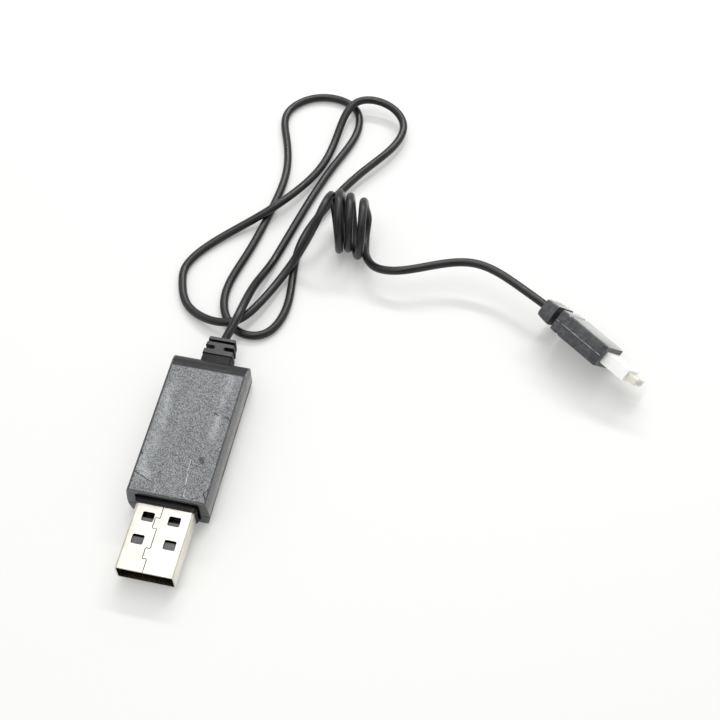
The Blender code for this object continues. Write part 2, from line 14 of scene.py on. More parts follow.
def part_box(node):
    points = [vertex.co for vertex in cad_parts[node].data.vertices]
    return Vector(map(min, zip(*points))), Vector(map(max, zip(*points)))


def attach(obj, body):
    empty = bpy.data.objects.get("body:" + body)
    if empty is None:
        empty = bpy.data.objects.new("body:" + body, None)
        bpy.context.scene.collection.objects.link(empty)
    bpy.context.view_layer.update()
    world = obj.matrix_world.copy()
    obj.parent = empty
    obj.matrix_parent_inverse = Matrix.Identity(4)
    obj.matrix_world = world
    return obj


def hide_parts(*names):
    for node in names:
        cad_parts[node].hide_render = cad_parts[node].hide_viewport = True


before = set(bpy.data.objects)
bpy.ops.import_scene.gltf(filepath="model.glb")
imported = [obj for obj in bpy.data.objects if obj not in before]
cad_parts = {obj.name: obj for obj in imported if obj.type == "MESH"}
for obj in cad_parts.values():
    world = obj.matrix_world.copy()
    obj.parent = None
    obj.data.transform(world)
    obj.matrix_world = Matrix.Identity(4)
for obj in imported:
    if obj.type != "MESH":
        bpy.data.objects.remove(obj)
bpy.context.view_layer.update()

MM = 0.001

# The camera.
CAMERA_PLACE, CAMERA_TARGET = (62.63, -120.71, 238.9), (29.74, 32.74, 0.0)
CAMERA_LENS, CAMERA_SENSOR = 65.0, 36.0

# The cord and its route, which part.py shares.
CORD_RADIUS, CORD_SPACING = 0.95, 0.8
LOOP_ROUTE = (
    (0.3, 28.5, 4.1), (1.2, 31.6, 5.1), (2.6, 44.6, 3.4), (4.3, 52.9, 1.3), (11.4, 84.4, 1.0),
    (15.1, 98.5, 1.0), (13.2, 105.2, 1.0), (7.8, 107.8, 1.0), (1.0, 106.3, 1.0), (-3.3, 100.4, 1.0),
    (-1.3, 91.6, 1.0), (1.1, 81.0, 1.0), (0.5, 69.8, 1.0), (-1.8, 55.1, 1.0), (-3.7, 45.0, 1.0),
    (-2.5, 38.4, 1.0), (2.2, 33.7, 1.0), (7.5, 34.3, 1.0), (10.5, 40.0, 1.0), (10.5, 47.8, 1.0),
    (9.5, 58.5, 1.0), (11.3, 67.7, 1.3), (19.2, 84.0, 2.4), (24.7, 92.9, 2.6), (26.0, 101.3, 2.6),
    (21.0, 106.2, 3.4), (13.6, 105.6, 3.5), (10.7, 96.4, 1.8), (8.9, 84.0, 1.5), (1.3, 68.4, 3.2),
    (-4.1, 63.4, 1.8), (-14.6, 49.1, 1.0), (-14.0, 43.9, 1.0), (-10.8, 38.1, 1.0), (0.1, 34.8, 2.9),
    (5.0, 41.2, 2.8), (10.0, 54.5, 3.6), (13.7, 58.9, 11.3), (15.0, 63.5, 13.5),
)
TAIL_ROUTE = (
    (23.8, 69.2, 4.2), (23.9, 67.2, 1.9), (24.3, 64.0, 1.1), (25.0, 60.9, 1.7), (26.1, 58.1, 3.0),
    (28.3, 55.3, 4.4), (32.6, 54.0, 5.8), (39.7, 56.1, 6.5), (50.5, 58.9, 7.1), (61.2, 55.2, 6.3),
)
CORD_EXIT, CORD_LENGTH = (0.3, 28.2, 4.1), 577.0

# The coil: the turns it makes, where it starts, its radius, its axis and front, and how its turns drift.
COIL_BEGIN, COIL_FINISH, COIL_STEPS = 0.12, 3.25, 51
COIL_START, COIL_LOWEST = (15.9, 64.3), CORD_RADIUS + 0.05
COIL_RADIUS, COIL_SHRINK = 6.25, 0.25
COIL_AXIS = Vector((0.973, 0.233, 0.0)).normalized()
COIL_FRONT = Vector((0.233, -0.973, 0.0)).normalized()
COIL_SIDEWAYS, COIL_FORWARDS = (1.9, 0.2), (0.9, -1.5, 0.63)
COIL_LEAN, COIL_PUSH = (0.85, 0.5, -0.25, 0.0), (0.75, 0.6, 1.8, 0.0)

# The light. Each row of the surroundings is a range of values and the brightness at its two ends: how
# nearly a direction points at the camera, and how high it points.
CAMERA_SIDE = (0.80, 0.95, 1.0, 0.2)
SKY_RISE = (0.20, 0.80, 0.48, 1.09)
STRIP_SIZE, STRIP_AIM = (700.0, 60.0), (25.0, 40.0, 0.0)
FLOOR_HALF, FLOOR_THICK, FLOOR_GLOW = 8000.0, 20.0, 0.235
OVERHEAD_STRIP, OVERHEAD_WATTS = (-30.0, 60.0, 600.0), 1.2
REAR_STRIP, REAR_WATTS = (60.0, 560.0, 560.0), 2.5

# The USB shell's windows and seam, measured from its mouth, its wall, and how far in from its sides the
# painted reflection goes.
WINDOW_HALF_X, WINDOW_HALF_Y, WINDOW_RADIUS = 1.22, 1.03, 0.35
FRONT_WINDOWS, REAR_WINDOWS, LOWER_WINDOWS = (3.27, 6.6), (2.7, 11.7), (2.9, 6.6)
SHELL_WALL, SHELL_REFLECTION_REACH = 0.3, 0.25
SEAM_X, SEAM_HALF, SEAM_TAB, SEAM_CORNER = -0.25, 0.075, 0.95, 0.16
SEAM_TABS = ((2.9, 5.1), (9.6, 11.8))

# The black collar and its lip, as half width and half height, and the collar's play round the shell.
COLLAR_HALF, LIP_HALF, COLLAR_PLAY = (6.35, 2.7), (6.2, 2.55), 0.06

# The housing.
REAR_TOP_LENGTH, REAR_TOP_HEIGHT, REAR_CORNER_RADIUS = 3.9, 3.2, 1.5
SPLIT_HEIGHT, SPLIT_GAP, SPLIT_WAVE = 3.0, 0.2, 0.07
EDGE_RADIUS, LOWER_EDGE_RADIUS = 0.22, 0.12
WALL, MIDDLE_HEIGHT = 1.2, 4.1
CAVITY_HALF, FRONT_HOLE_HALF, REAR_HOLE_HALF = (7.35, 3.15), (6.65, 3.1), (3.65, 2.25)

# Where the housing's paint changes, each as the two places that the change lies between.
# The first row bounds a painted dark reflection: a thin dark line along the grained top's side and front
# edges.
TOP_EDGE_REFLECTION_X, TOP_EDGE_REFLECTION_Y = (7.72, 7.80), (-12.2, -12.1)
SIDE_FROM_X, SIDE_FROM_Y = (7.9, 8.1), (-12.5, -12.3)
REAR_BLACK, REAR_MATT = (17.6, 18.6), (18.4, 20.8)
# The sides' painted reflection of the table: pale below the foot pair's first height, fading out by its
# second, and fading out upwards between the upper pair.
FOOT_REFLECTION, UPPER_REFLECTION = (0.8, 1.1), (3.6, 7.0)

# The lines along its sides, each a height and half width: a pale line painted as a highlight, then dark
# lines.
SIDE_HIGHLIGHT_LINE, DARK_LINES = (2.3, 0.6), ((3.15, 0.55), (1.45, 0.5))

# The far connector's place: its heading on the table and its roll about its own length.
FAR_FRONT = (82.66, 40.5)
FAR_HEADING, FAR_ROLL = math.radians(-36.1), math.radians(39.0)

# Its cover and its white body, measured from the cover's front along +Y. Halves are thick, then wide.
COVER_HALF_THICK, COVER_HALF_WIDE, COVER_LENGTH = 2.63, 5.59, 17.9
POCKET_HALF, POCKET_DEPTH = (1.55, 3.85), 7.5
PARTING_HALF, PARTING_OUT = (0.05, 0.1), 0.045
BODY_HALF, BODY_REAR, BODY_FRONT = (1.4, 3.7), -3.0, 6.2
NOSE_HALF, NOSE_FRONT, NOSE_NOTCH = (0.75, 2.9), 8.6, 1.1
BORE_HALF, BORE_MIDDLE, BORE_SHORT, PIN_HOLE_HALF = (0.45, 0.65), 1.5, 0.6, (0.2, 0.25)


# ---------------------------------------------------------------- meshes

def add_mesh(name, points, faces, *looks):
    """A mesh object from points in millimetres, facing outwards."""
    mesh = bpy.data.meshes.new(name)
    mesh.from_pydata([Vector(point) * MM for point in points], [], faces)
    for look in looks:
        mesh.materials.append(look)
    made = bpy.data.objects.new(name, mesh)
    bpy.context.scene.collection.objects.link(made)
    mesh.calc_loop_triangles()
    at = [vertex.co for vertex in mesh.vertices]
    volume = sum(at[a].dot(at[b].cross(at[c])) for a, b, c in (t.vertices for t in mesh.loop_triangles))
    if volume < 0:
        mesh.flip_normals()
    return made


def prism(name, outline, axis, start, end, *looks):
    """A prism along an axis. outline holds the other two coordinates, in X, Y, Z order."""
    ends = [[tuple(np.insert(np.array(p, float), axis, at)) for p in outline] for at in (start, end)]
    count = len(outline)
    faces = [tuple(range(count)), tuple(range(2 * count - 1, count - 1, -1))]
    faces += [(i, i + count, (i + 1) % count + count, (i + 1) % count) for i in range(count)]
    return add_mesh(name, ends[0] + ends[1], faces, *looks)


def box(name, low, high, *looks):
    """A box between its lowest and highest corners."""
    outline = ((low[0], low[1]), (high[0], low[1]), (high[0], high[1]), (low[0], high[1]))
    return prism(name, outline, 2, low[2], high[2], *looks)


def rounded_rectangle(half_a, half_b, radius, centre=(0.0, 0.0), steps=6):
    """Points round a rectangle with round corners."""
    points = []
    for corner, (sign_a, sign_b) in enumerate(((1, 1), (-1, 1), (-1, -1), (1, -1))):
        for step in range(steps + 1):
            angle = math.pi / 2 * (corner + step / steps)
            points.append((
                centre[0] + sign_a * (half_a - radius) + radius * math.cos(angle),
                centre[1] + sign_b * (half_b - radius) + radius * math.sin(angle),
            ))
    return points


def loft(name, stations, look, steps=4):
    """A closed body through rounded rectangles. Each station is (y, half x, half z, corner radius)."""
    points, faces, count = [], [], 4 * (steps + 1)
    for y, half_x, half_z, radius in stations:
        points += [(a, y, b) for a, b in rounded_rectangle(half_x, half_z, radius, steps=steps)]
    for station in range(len(stations) - 1):
        first = station * count
        for i in range(count):
            j = (i + 1) % count
            faces.append((first + i, first + j, first + count + j, first + count + i))
    last = (len(stations) - 1) * count
    faces += [tuple(range(count - 1, -1, -1)), tuple(range(last, last + count))]
    return add_mesh(name, points, faces, look)


def combine(made, operation, *others):
    """Joins, cuts or limits one object by others, which are then deleted."""
    for other in others:
        step = made.modifiers.new(other.name, "BOOLEAN")
        step.operation, step.solver, step.object = operation, "EXACT", other
        step.material_mode = "TRANSFER"
    settle(made)
    for other in others:
        bpy.data.objects.remove(other)


def settle(made):
    """Applies every modifier of an object to its mesh."""
    seen = made.evaluated_get(bpy.context.evaluated_depsgraph_get())
    done = bpy.data.meshes.new_from_object(seen)
    made.modifiers.clear()
    made.data = done


def soften(made, width, segments=3, angle=32.0, look=-1):
    """Rounds the sharp edges by a width in millimetres and shades the piece smooth."""
    made.data.shade_smooth()
    edge = made.modifiers.new("edges", "BEVEL")
    edge.width, edge.segments, edge.angle_limit = width * MM, segments, math.radians(angle)
    edge.limit_method, edge.harden_normals, edge.material = "ANGLE", True, look
    edge.miter_outer = "MITER_ARC"
    settle(made)
    return made


def paint_faces(made, look, wanted):
    """Gives a look to the faces whose middle in millimetres and normal satisfy wanted."""
    names = [slot.name for slot in made.data.materials]
    if look.name not in names:
        made.data.materials.append(look)
        names.append(look.name)
    number = names.index(look.name)
    for face in made.data.polygons:
        if wanted(face.center / MM, face.normal):
            face.material_index = number


def finish_piece(made, slot, *nodes):
    """Puts a piece on the part's one body and hides the CAD nodes that it stands for."""
    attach(made, "root")
    if nodes:
        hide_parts(*nodes)
    return made


def span(node):
    """A CAD node's lowest and highest corners in millimetres."""
    low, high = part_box(node)
    return low / MM, high / MM


# ---------------------------------------------------------------- materials

class Paint:
    """A node material. Its methods add nodes and give back their output."""

    def __init__(self, name, colour, roughness, metallic=0.0, **sockets):
        self.material = bpy.data.materials.new(name)
        self.material.use_nodes = True
        self.tree = self.material.node_tree
        self.shader = self.tree.nodes["Principled BSDF"]
        self.colour = (*colour, 1.0)
        self.shader.inputs["Base Color"].default_value = self.colour
        self.shader.inputs["Roughness"].default_value = roughness
        self.shader.inputs["Metallic"].default_value = metallic
        for socket, value in sockets.items():
            self.shader.inputs[socket.replace("_", " ")].default_value = value
        self.place = self.tree.nodes.new("ShaderNodeTexCoord").outputs["Object"]
        self.ragged = None

    def add(self, kind, inputs, output=0, **settings):
        """A node of a kind. Each input is a value or another node's output."""
        made = self.tree.nodes.new(kind)
        for setting, value in settings.items():
            setattr(made, setting, value)
        for socket, value in inputs.items():
            if isinstance(value, bpy.types.NodeSocket):
                self.tree.links.new(value, made.inputs[socket])
            else:
                made.inputs[socket].default_value = value
        return made.outputs[output]

    def axis(self, letter):
        """The place along X, Y or Z in metres."""
        return self.add("ShaderNodeSeparateXYZ", {0: self.place}, letter)

    def stretched(self, scale):
        """The place, scaled along each axis."""
        return self.add("ShaderNodeMapping", {"Vector": self.place, "Scale": scale}, "Vector")

    def noise(self, size, detail=2.0, place=None):
        """Soft noise from 0 to 1, with features of about the size in millimetres."""
        inputs = {"Vector": place or self.place, "Scale": 1 / (size * MM), "Detail": detail}
        return self.add("ShaderNodeTexNoise", inputs, "Fac")

    def cells(self, size):
        """The distance to the nearest of scattered points, about the size in millimetres apart."""
        inputs = {"Vector": self.place, "Scale": 1 / (size * MM)}
        return self.add("ShaderNodeTexVoronoi", inputs, "Distance")

    def maths(self, operation, a, b=0.0):
        """One operation on one or two values."""
        return self.add("ShaderNodeMath", {0: a, 1: b}, "Value", operation=operation)

    def times(self, a, b):
        """The product of two values."""
        return self.maths("MULTIPLY", a, b)

    def spread(self, value, low, high, least=0.0, most=1.0):
        """The value's range from low to high, stretched to least to most and clamped."""
        inputs = {"Value": value, "From Min": low, "From Max": high, "To Min": least, "To Max": most}
        return self.add("ShaderNodeMapRange", inputs, "Result", interpolation_type="SMOOTHSTEP")

    def within(self, value, reach, least=0.0, most=1.0):
        """As spread, for a length and a range of two lengths in millimetres."""
        return self.spread(value, reach[0] * MM, reach[1] * MM, least, most)

    def blend(self, factor, first, second):
        """A colour between two."""
        inputs = {0: factor, 6: first, 7: second}
        return self.add("ShaderNodeMix", inputs, 2, data_type="RGBA")

    def stroke(self, start, end, half_width, soft=0.6):
        """1 on a straight mark between two points, fading to 0 at its edge. Points and widths in mm."""
        start, end = Vector(start) * MM, Vector(end) * MM
        along = end - start
        offset = self.add(
            "ShaderNodeVectorMath", {0: self.wobbled(), 1: start}, "Vector", operation="SUBTRACT"
        )
        share = self.add(
            "ShaderNodeVectorMath", {0: offset, 1: along / along.length_squared}, "Value",
            operation="DOT_PRODUCT",
        )
        share = self.maths("MINIMUM", self.maths("MAXIMUM", share, 0.0), 1.0)
        reach = self.add(
            "ShaderNodeVectorMath", {0: along, "Scale": share}, "Vector", operation="SCALE"
        )
        distance = self.add(
            "ShaderNodeVectorMath", {0: offset, 1: reach}, "Value", operation="DISTANCE"
        )
        return self.spread(distance, half_width * MM * (1 - soft), half_width * MM, 1.0, 0.0)

    def wobbled(self):
        """The place, shifted a little by noise so that straight marks come out ragged."""
        if self.ragged is None:
            inputs = {"Vector": self.place, "Scale": 1 / (0.9 * MM), "Detail": 3.0}
            waves = self.add("ShaderNodeTexNoise", inputs, "Color")
            inputs = {0: waves, 1: (0.5, 0.5, 0.5)}
            waves = self.add("ShaderNodeVectorMath", inputs, "Vector", operation="SUBTRACT")
            inputs = {0: waves, 1: (0.4 * MM, 0.4 * MM, 0.0)}
            shift = self.add("ShaderNodeVectorMath", inputs, "Vector", operation="MULTIPLY")
            inputs = {0: self.place, 1: shift}
            self.ragged = self.add("ShaderNodeVectorMath", inputs, "Vector", operation="ADD")
        return self.ragged

    def most_of(self, values):
        """The highest of several values."""
        found = values[0]
        for value in values[1:]:
            found = self.maths("MAXIMUM", found, value)
        return found

    def use(self, socket, value):
        """Links a node's output to one of the shader's sockets."""
        self.tree.links.new(value, self.shader.inputs[socket])

    def bump(self, height, depth, strength=1.0, below=None):
        """Bumps of a depth in millimetres, on top of those below if any are given."""
        inputs = {"Height": height, "Distance": depth * MM, "Strength": strength}
        if below is not None:
            inputs["Normal"] = below
        normal = self.add("ShaderNodeBump", inputs, "Normal")
        self.use("Normal", normal)
        return normal

    def tones(self, factor, dark, light):
        """Colours from dark to light times the base colour."""
        shades = [tuple(c * k for c in self.colour[:3]) + (1.0,) for k in (dark, light)]
        return self.blend(factor, *shades)


def moulded(name, colour, roughness, grain=0.25, depth=0.01, vary=0.12, **sockets):
    """A moulded plastic or rubber: fine grain, slightly uneven tone and gloss."""
    look = Paint(name, colour, roughness, **sockets)
    cloud, fine = look.noise(4.0, 3.0), look.noise(grain, 2.0)
    mixed = look.maths("ADD", look.times(cloud, 0.5), look.times(fine, 0.5))
    look.use("Base Color", look.tones(look.spread(mixed, 0.35, 0.65), 1 - vary, 1 + vary))
    look.use("Roughness", look.spread(cloud, 0.3, 0.7, roughness - 0.05, roughness + 0.07))
    look.bump(fine, depth)
    return look.material


def metal(name, colour, roughness, line=0.12, depth=0.002, vary=0.05):
    """A plated or stamped metal with faint lines along Y."""
    look = Paint(name, colour, roughness, 1.0)
    lines = look.noise(line, 2.0, look.stretched((1.0, 0.06, 1.0)))
    cloud = look.noise(2.5, 3.0)
    look.use("Base Color", look.tones(look.spread(cloud, 0.3, 0.7), 1 - vary, 1 + vary))
    look.use("Roughness", look.spread(lines, 0.3, 0.7, roughness - 0.06, roughness + 0.08))
    look.bump(lines, depth)
    return look.material


# Marks on the housing's top: start, end and half width, each at the top's height.
BLACK_NICKS = (
    ((4.2, 8.3), (5.1, 7.9), 0.17), ((6.6, 8.0), (7.7, 7.3), 0.17),
    ((-7.9, -8.0), (-5.8, -9.0), 0.15), ((-5.8, -9.0), (-3.9, -9.8), 0.13),
    ((7.9, -8.9), (7.1, -10.1), 0.14), ((7.1, -10.1), (7.7, -11.3), 0.17),
    ((6.2, -11.3), (5.1, -11.9), 0.12), ((-5.2, 4.8), (-4.0, 4.9), 0.08),
    ((-8.1, -3.4), (-7.5, -4.0), 0.18), ((-3.4, -6.0), (-2.5, -5.3), 0.08),
    ((-3.1, -7.9), (-2.8, -6.9), 0.09),
)
DARK_SPOT = ((4.5, -2.7), (4.9, -3.4), 0.75)
WHITE_SCRATCHES = (
    ((2.5, -3.3), (2.6, -5.8), 0.09), ((2.8, -6.5), (3.0, -8.9), 0.13),
    ((-2.6, -10.7), (-2.6, -11.9), 0.11), ((3.2, -10.1), (3.5, -11.6), 0.09),
    ((-1.4, -4.0), (-1.1, -4.7), 0.08),
)
WORN_BANDS = (
    ((-6.5, 13.8), (-5.9, 2.8), 1.9), ((-5.9, 2.8), (-6.7, -6.9), 2.1),
    ((5.2, 17.7), (5.2, 12.3), 1.7), ((5.3, 4.3), (5.1, 1.6), 1.6),
    ((-6.4, -7.2), (-5.4, -8.6), 1.9), ((5.2, 12.3), (5.3, 4.3), 1.1),
)


def worn_top(height):
    """The housing's finely grained top, rubbed lighter in bands, with nicks and scratches, bright speckle
    that is partly painted glints, and a painted dark reflection along its edges.
    """
    look = Paint("housing_grained_top", (0.134, 0.140, 0.144), 0.46)

    def marks(rows, soft):
        """1 on any of the marks in the rows."""
        return look.most_of([
            look.stroke((*start, height), (*end, height), width, soft) for start, end, width in rows
        ])

    grain = look.maths("ADD", look.noise(0.18, 2.0), look.times(look.noise(0.09, 1.0), 0.6))
    cloud = look.noise(5.0, 3.0)
    # The speckle is partly the grain's own tone and partly painted glints: bright flecks in the colour
    # stand in for glints off the grain.
    grain_and_glint_speckle = look.spread(grain, 0.62, 1.0)
    worn = look.times(marks(WORN_BANDS, 1.0), look.spread(cloud, 0.3, 0.6))
    shade = look.maths("ADD", look.times(grain_and_glint_speckle, 0.72), look.times(look.times(worn, grain), 0.42))
    shade = look.maths("ADD", shade, look.times(cloud, 0.14))
    colour = look.tones(shade, -0.4, 2.85)
    nicks = look.times(marks(BLACK_NICKS, 0.5), look.spread(look.noise(0.5, 2.0), 0.2, 0.45))
    spot = look.times(marks((DARK_SPOT,), 0.7), 0.75)
    scratches = look.times(marks(WHITE_SCRATCHES, 0.8), look.spread(look.noise(0.3, 2.0), 0.30, 0.50))
    # Painted dark reflection: the top darkens in a thin line along its side and front edges, standing in
    # for the rounded edge reflecting dark surroundings.
    by_side = look.within(look.maths("ABSOLUTE", look.axis("X")), TOP_EDGE_REFLECTION_X)
    by_front = look.within(look.axis("Y"), TOP_EDGE_REFLECTION_Y, 1.0, 0.0)
    dark_edge_reflection = look.times(look.maths("MAXIMUM", by_side, by_front), 0.85)
    dark = look.most_of([nicks, spot, dark_edge_reflection])
    colour = look.blend(dark, colour, (0.010, 0.010, 0.012, 1.0))
    colour = look.blend(scratches, colour, (0.50, 0.51, 0.52, 1.0))
    look.use("Base Color", colour)
    gloss = look.spread(grain, 0.6, 1.05, 0.56, 0.36)
    look.use("Roughness", look.maths("SUBTRACT", gloss, look.times(worn, 0.04)))
    below = look.bump(grain, 0.045, 0.9)
    look.bump(look.maths("SUBTRACT", 1.0, look.maths("MAXIMUM", nicks, scratches)), 0.04, 0.8, below)
    return look.material


def smooth_housing():
    """The housing's smooth faces: black round the rear top edge; along the sides, painted lighter as a
    reflection of the table, with a painted highlight line and dark lines.
    """
    look = Paint("housing_smooth", (0.076, 0.080, 0.080), 0.32)
    across, along, upward = look.maths("ABSOLUTE", look.axis("X")), look.axis("Y"), look.axis("Z")
    scuffs = look.noise(0.5, 3.0, look.stretched((1.0, 0.12, 1.0)))
    on_side = look.times(look.within(across, SIDE_FROM_X), look.within(along, SIDE_FROM_Y))

    def line(height, half):
        """1 along a level line, fading to 0 at its half width."""
        away = look.maths("ABSOLUTE", look.maths("SUBTRACT", upward, height * MM))
        return look.within(away, (half * 0.5, half), 1.0, 0.0)

    # Painted reflection and highlight: the sides are painted paler near the foot, along one line and fading
    # upwards, broken up by scuffs.
    painted_reflection = look.most_of([
        line(*SIDE_HIGHLIGHT_LINE), look.within(upward, FOOT_REFLECTION, 1.0, 0.0),
        look.within(upward, UPPER_REFLECTION, 0.7, 0.0),
    ])
    painted_reflection = look.times(look.times(painted_reflection, look.spread(scuffs, 0.35, 0.6, 0.6, 1.0)), on_side)
    dark = look.most_of([line(*row) for row in DARK_LINES])
    dark = look.times(look.times(dark, look.spread(scuffs, 0.4, 0.55, 0.35, 1.0)), on_side)
    at_rear = look.times(look.within(along, REAR_BLACK), look.maths("SUBTRACT", 1.0, on_side))
    colour = look.blend(painted_reflection, look.colour, (0.28, 0.28, 0.265, 1.0))
    colour = look.blend(dark, colour, (0.012, 0.012, 0.012, 1.0))
    look.use("Base Color", look.blend(at_rear, colour, (0.016, 0.017, 0.017, 1.0)))
    matt = look.most_of([
        look.times(dark, 0.95), look.times(at_rear, look.within(along, REAR_MATT, 0.7, 0.0)),
    ])
    look.use("Specular IOR Level", look.spread(matt, 0.0, 1.0, 0.5, 0.0))
    look.use("Roughness", look.spread(look.noise(2.0, 2.0), 0.3, 0.7, 0.26, 0.36))
    look.bump(look.noise(0.3, 2.0), 0.008, 0.6)
    return look.material


def cord_jacket():
    """Satin PVC with a faint orange peel and long smears."""
    look = Paint("cord_jacket", (0.010, 0.010, 0.011), 0.28, Specular_IOR_Level=0.42)
    peel, smears = look.noise(0.35, 2.0), look.noise(6.0, 3.0)
    look.use("Base Color", look.tones(look.spread(smears, 0.3, 0.7), 0.75, 1.5))
    look.use("Roughness", look.spread(smears, 0.3, 0.7, 0.27, 0.38))
    look.bump(peel, 0.003, 0.8)
    return look.material


def cover_rubber():
    """The far cover's dark rubbery moulding, dusted lighter in patches."""
    look = Paint("cover_rubber", (0.066, 0.069, 0.073), 0.40, Specular_IOR_Level=0.4)
    fine, dust = look.noise(0.22, 3.0), look.noise(0.9, 4.0)
    shade = look.maths("ADD", look.times(fine, 0.45), look.times(dust, 0.55))
    look.use("Base Color", look.tones(look.spread(shade, 0.38, 0.64), 0.62, 1.45))
    look.use("Roughness", look.spread(dust, 0.3, 0.7, 0.38, 0.58))
    look.bump(fine, 0.02, 0.8)
    return look.material


def nylon(name, colour, clear):
    """The connector's white nylon, which lets a little light through."""
    inside = {"Subsurface_Weight": clear, "Subsurface_Scale": MM, "Subsurface_Radius": (1.0, 0.95, 0.85)}
    look = Paint(name, colour, 0.36, **inside)
    cloud, fine = look.noise(1.5, 2.0), look.noise(0.18, 2.0)
    look.use("Base Color", look.tones(look.spread(cloud, 0.3, 0.7), 0.96, 1.02))
    look.use("Roughness", look.spread(cloud, 0.3, 0.7, 0.32, 0.42))
    look.bump(fine, 0.004, 0.8)
    return look.material


def board_mask():
    """Green solder mask over faint copper tracks."""
    look = Paint("solder_mask", (0.03, 0.17, 0.07), 0.3, Coat_Weight=0.4)
    tracks = look.spread(look.cells(1.6), 0.28, 0.34)
    look.use("Base Color", look.tones(tracks, 0.7, 1.3))
    look.bump(tracks, 0.02)
    return look.material


# ---------------------------------------------------------------- camera and cord

def make_camera():
    """The one camera, looking down at the lead."""
    data = bpy.data.cameras.new("camera")
    data.lens, data.sensor_width = CAMERA_LENS, CAMERA_SENSOR
    data.clip_start, data.clip_end = 0.01, 20.0
    camera = bpy.data.objects.new("camera", data)
    bpy.context.scene.collection.objects.link(camera)
    camera.location = Vector(CAMERA_PLACE) * MM
    toward = Vector(CAMERA_TARGET) - Vector(CAMERA_PLACE)
    camera.rotation_euler = toward.to_track_quat("-Z", "Y").to_euler()
    bpy.context.scene.camera = camera


def smooth_path(route, spacing):
    """Points along a natural cubic spline through the route, about the spacing apart."""
    at = np.array(route, float)
    steps = np.linalg.norm(np.diff(at, axis=0), axis=1) ** 0.75
    count = len(at)
    system, right = np.eye(count), np.zeros((count, 3))
    slopes = np.diff(at, axis=0) / steps[:, None]
    for i in range(1, count - 1):
        system[i, i - 1 : i + 2] = steps[i - 1], 2 * (steps[i - 1] + steps[i]), steps[i]
        right[i] = 6 * (slopes[i] - slopes[i - 1])
    bend = np.linalg.solve(system, right)
    fine = []
    for i, width in enumerate(steps):
        for share in np.arange(0.0, 1.0, 0.02):
            after, before = share * width, (1 - share) * width
            curved = (bend[i] * before**3 + bend[i + 1] * after**3) / (6 * width)
            straight = (at[i] / width - bend[i] * width / 6) * before
            straight += (at[i + 1] / width - bend[i + 1] * width / 6) * after
            fine.append(curved + straight)
    fine = np.array(fine + [at[-1]])
    fine[:, 2] = np.maximum(fine[:, 2], CORD_RADIUS + 0.02)
    along = np.concatenate([[0.0], np.cumsum(np.linalg.norm(np.diff(fine, axis=0), axis=1))])
    wanted = np.linspace(0.0, along[-1], max(2, round(along[-1] / spacing) + 1))
    return np.stack([np.interp(wanted, along, fine[:, i]) for i in range(3)], axis=1)


def coil_point(turn):
    """The cord's middle after this many turns of the coil, counted from the top of the first one."""
    radius = COIL_RADIUS - COIL_SHRINK * min(max(turn - 1, 0), 1)
    angle = 2 * math.pi * turn
    sway = math.sin(math.pi * turn) ** 2
    sideways = COIL_SIDEWAYS[0] * turn + COIL_SIDEWAYS[1] * turn**2 + COIL_LEAN[int(turn)] * sway
    forwards = COIL_FORWARDS[0] + COIL_FORWARDS[1] * turn + COIL_FORWARDS[2] * turn**2
    forwards += COIL_PUSH[int(turn)] * sway - radius * math.sin(angle)
    height = COIL_LOWEST + radius * (1 + math.cos(angle))
    place = Vector((*COIL_START, height)) + COIL_AXIS * sideways + COIL_FRONT * forwards
    return tuple(place)


def far_place():
    """The far connector's matrix in metres: +Y towards its tip, its narrow side up."""
    along = Vector((math.cos(FAR_HEADING), math.sin(FAR_HEADING), 0.0))
    level = Vector((0.0, 0.0, 1.0)).cross(along)
    across = -(math.cos(FAR_ROLL) * level + math.sin(FAR_ROLL) * Vector((0.0, 0.0, 1.0)))
    upward = across.cross(along)
    height = COVER_HALF_THICK * math.sin(FAR_ROLL) + COVER_HALF_WIDE * math.cos(FAR_ROLL)
    turned = Matrix((across, along, upward)).transposed().to_4x4()
    return Matrix.Translation(Vector((*FAR_FRONT, height)) * MM) @ turned


def make_cord(look):
    """One cord from inside the strain relief to inside the far cover."""
    inside = (LOOP_ROUTE[0][0] - 0.1, LOOP_ROUTE[0][1] - 1.4, LOOP_ROUTE[0][2])
    coil = [coil_point(turn) for turn in np.linspace(COIL_BEGIN, COIL_FINISH, COIL_STEPS)]
    plug = far_place() @ (Vector((0.0, -COVER_LENGTH, 0.0)) * MM) / MM
    deeper = far_place() @ (Vector((0.0, 1.2 - COVER_LENGTH, 0.0)) * MM) / MM
    route = (inside, *LOOP_ROUTE, *coil, *TAIL_ROUTE, tuple(plug), tuple(deeper))
    curve = bpy.data.curves.new("cord", "CURVE")
    curve.dimensions, curve.bevel_depth = "3D", CORD_RADIUS * MM
    curve.bevel_resolution, curve.use_fill_caps = 6, True
    points = smooth_path(route, CORD_SPACING)
    spline = curve.splines.new("POLY")
    spline.points.add(len(points) - 1)
    for target, point in zip(spline.points, points):
        target.co = (*(Vector(point) * MM), 1.0)
    spline.use_smooth = True
    curve.materials.append(look)
    made = bpy.data.objects.new("cord", curve)
    bpy.context.scene.collection.objects.link(made)
    return finish_piece(made, "cord_jacket", "cord_loops", "cord_coil", "cord_tail")


# ---------------------------------------------------------------- the plug

